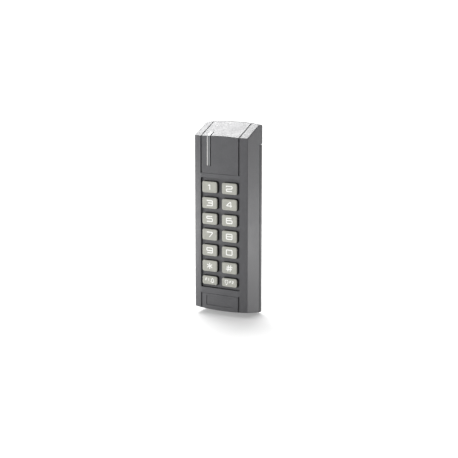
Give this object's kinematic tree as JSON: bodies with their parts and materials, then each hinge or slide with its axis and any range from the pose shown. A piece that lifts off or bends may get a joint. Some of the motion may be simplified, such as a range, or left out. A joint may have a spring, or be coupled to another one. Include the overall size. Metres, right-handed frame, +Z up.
{
  "type": "keypad access reader",
  "caption": "Slim wall-mounted access reader with a sloping top, a card area with a light bar, and a sunk rubber keypad.",
  "frame": {"origin": "middle of the flat back that lies on the wall", "axes": "+Z up the reader's length, +Y into the wall, +X to the right seen from the front; the keys face -Y"},
  "size_m": [0.0484, 0.0257, 0.1531],
  "materials": {
    "housing_plastic": "fine moulded texture, dark grey",
    "base_plastic": "moulded, near black",
    "seal_rubber": "matt black",
    "screw_steel": "bright zinc",
    "brass_insert": "turned",
    "mat_rubber": "black silicone",
    "key_rubber": "warm grey coating on black silicone",
    "clear_bar": "clear polished",
    "black_plastic": "moulded",
    "circuit_board": "solder mask on glass fibre",
    "gold_pads": "gold flash",
    "led_plastic": "moulded resin",
    "copper_wire": "enamelled copper winding",
    "terminal_plastic": "moulded",
    "chip_plastic": "moulded epoxy",
    "metal_can": "drawn can",
    "chip_ceramic": "fired ceramic",
    "plunger_plastic": "natural acetal",
    "spring_steel": "drawn wire",
    "carbon_rubber": "carbon-filled silicone"
  },
  "bodies": {
    "root": {"antenna_coil": "copper_wire", "backlight_leds": "led_plastic", "base_gasket": "seal_rubber", "base_plate": "base_plastic", "buzzer": "black_plastic", "cable_grommet": "seal_rubber", "capacitors": "metal_can", "crystal": "metal_can", "front_housing": "housing_plastic", "key_contacts": "gold_pads", "keypad_mat": "mat_rubber", "light_bar": "clear_bar", "light_bar_holder": "black_plastic", "main_pcb": "circuit_board", "microcontroller": "chip_plastic", "pcb_screws": "screw_steel", "radio_chip": "chip_plastic", "screw_insert": "brass_insert", "security_screw": "screw_steel", "status_leds": "led_plastic", "surface_mount_parts": "chip_ceramic", "tamper_spring": "spring_steel", "tamper_switch": "black_plastic", "terminal_block": "terminal_plastic", "terminal_screws": "screw_steel", "voltage_regulator": "chip_plastic"},
    "button_0": {"key_0": "key_rubber", "pill_0": "carbon_rubber"},
    "button_1": {"key_1": "key_rubber", "pill_1": "carbon_rubber"},
    "button_2": {"key_2": "key_rubber", "pill_2": "carbon_rubber"},
    "button_3": {"key_3": "key_rubber", "pill_3": "carbon_rubber"},
    "button_4": {"key_4": "key_rubber", "pill_4": "carbon_rubber"},
    "button_5": {"key_5": "key_rubber", "pill_5": "carbon_rubber"},
    "button_6": {"key_6": "key_rubber", "pill_6": "carbon_rubber"},
    "button_7": {"key_7": "key_rubber", "pill_7": "carbon_rubber"},
    "button_8": {"key_8": "key_rubber", "pill_8": "carbon_rubber"},
    "button_9": {"key_9": "key_rubber", "pill_9": "carbon_rubber"},
    "button_f1": {"key_f1": "key_rubber", "pill_f1": "carbon_rubber"},
    "button_f2": {"key_f2": "key_rubber", "pill_f2": "carbon_rubber"},
    "button_hash": {"key_hash": "key_rubber", "pill_hash": "carbon_rubber"},
    "button_star": {"key_star": "key_rubber", "pill_star": "carbon_rubber"},
    "plunger": {"tamper_plunger": "plunger_plastic"}
  },
  "joints": [
    {"name": "press_0", "type": "slide", "parent": "root", "child": "button_0", "axis": [0, 1, 0], "range_m": [0, 0.0011], "stiffness_N_per_m": 700},
    {"name": "press_1", "type": "slide", "parent": "root", "child": "button_1", "axis": [0, 1, 0], "range_m": [0, 0.0011], "stiffness_N_per_m": 700},
    {"name": "press_2", "type": "slide", "parent": "root", "child": "button_2", "axis": [0, 1, 0], "range_m": [0, 0.0011], "stiffness_N_per_m": 700},
    {"name": "press_3", "type": "slide", "parent": "root", "child": "button_3", "axis": [0, 1, 0], "range_m": [0, 0.0011], "stiffness_N_per_m": 700},
    {"name": "press_4", "type": "slide", "parent": "root", "child": "button_4", "axis": [0, 1, 0], "range_m": [0, 0.0011], "stiffness_N_per_m": 700},
    {"name": "press_5", "type": "slide", "parent": "root", "child": "button_5", "axis": [0, 1, 0], "range_m": [0, 0.0011], "stiffness_N_per_m": 700},
    {"name": "press_6", "type": "slide", "parent": "root", "child": "button_6", "axis": [0, 1, 0], "range_m": [0, 0.0011], "stiffness_N_per_m": 700},
    {"name": "press_7", "type": "slide", "parent": "root", "child": "button_7", "axis": [0, 1, 0], "range_m": [0, 0.0011], "stiffness_N_per_m": 700},
    {"name": "press_8", "type": "slide", "parent": "root", "child": "button_8", "axis": [0, 1, 0], "range_m": [0, 0.0011], "stiffness_N_per_m": 700},
    {"name": "press_9", "type": "slide", "parent": "root", "child": "button_9", "axis": [0, 1, 0], "range_m": [0, 0.0011], "stiffness_N_per_m": 700},
    {"name": "press_f1", "type": "slide", "parent": "root", "child": "button_f1", "axis": [0, 1, 0], "range_m": [0, 0.0011], "stiffness_N_per_m": 700},
    {"name": "press_f2", "type": "slide", "parent": "root", "child": "button_f2", "axis": [0, 1, 0], "range_m": [0, 0.0011], "stiffness_N_per_m": 700},
    {"name": "press_hash", "type": "slide", "parent": "root", "child": "button_hash", "axis": [0, 1, 0], "range_m": [0, 0.0011], "stiffness_N_per_m": 700},
    {"name": "press_star", "type": "slide", "parent": "root", "child": "button_star", "axis": [0, 1, 0], "range_m": [0, 0.0011], "stiffness_N_per_m": 700},
    {"name": "tamper_slide", "type": "slide", "parent": "root", "child": "plunger", "axis": [0, 1, 0], "range_m": [0, 0.0015], "stiffness_N_per_m": 250, "deforming": ["tamper_spring"]}
  ]
}
